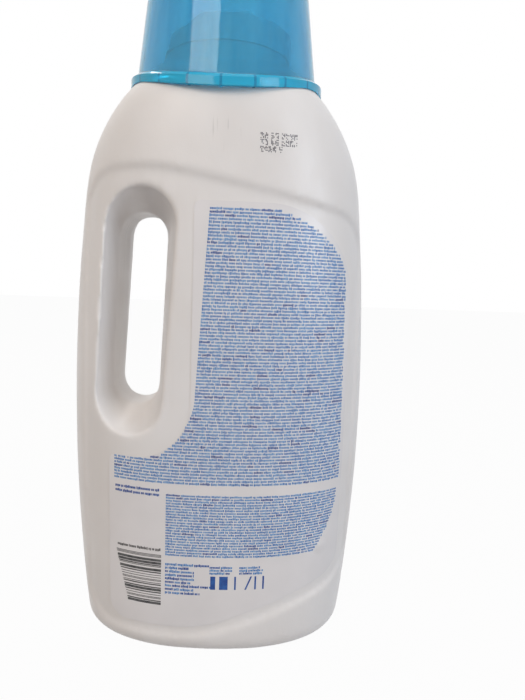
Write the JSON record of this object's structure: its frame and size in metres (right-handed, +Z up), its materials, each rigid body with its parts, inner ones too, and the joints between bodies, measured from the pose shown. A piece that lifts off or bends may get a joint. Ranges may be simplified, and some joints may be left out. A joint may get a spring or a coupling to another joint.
{
  "type": "laundry detergent bottle",
  "caption": "Flat oval blow-moulded detergent bottle with a through-handle, a press-on pouring spout, a translucent lift-off dosing cap and a printed film on one broad face",
  "frame": {"origin": "middle of the base, on the surface that the bottle stands on", "axes": "+Z up along the bottle, -X towards the handle, -Y out of the labelled face"},
  "size_m": [0.1324, 0.0838, 0.3],
  "materials": {
    "white_polyethylene": "soft satin, blow-moulded",
    "natural_polyethylene": "natural milky white, moulded",
    "translucent_blue": "clear blue, glossy",
    "printed_film": "thin printed film, satin"
  },
  "bodies": {
    "bottle": {"bottle_body": "white_polyethylene", "pourer": "natural_polyethylene", "back_label": "printed_film"},
    "cap": {"dosing_cap": "translucent_blue"}
  },
  "joints": [
    {"name": "cap_lift", "type": "slide", "parent": "bottle", "child": "cap", "axis": [0, 0, 1], "range_m": [0, 0.06]}
  ]
}
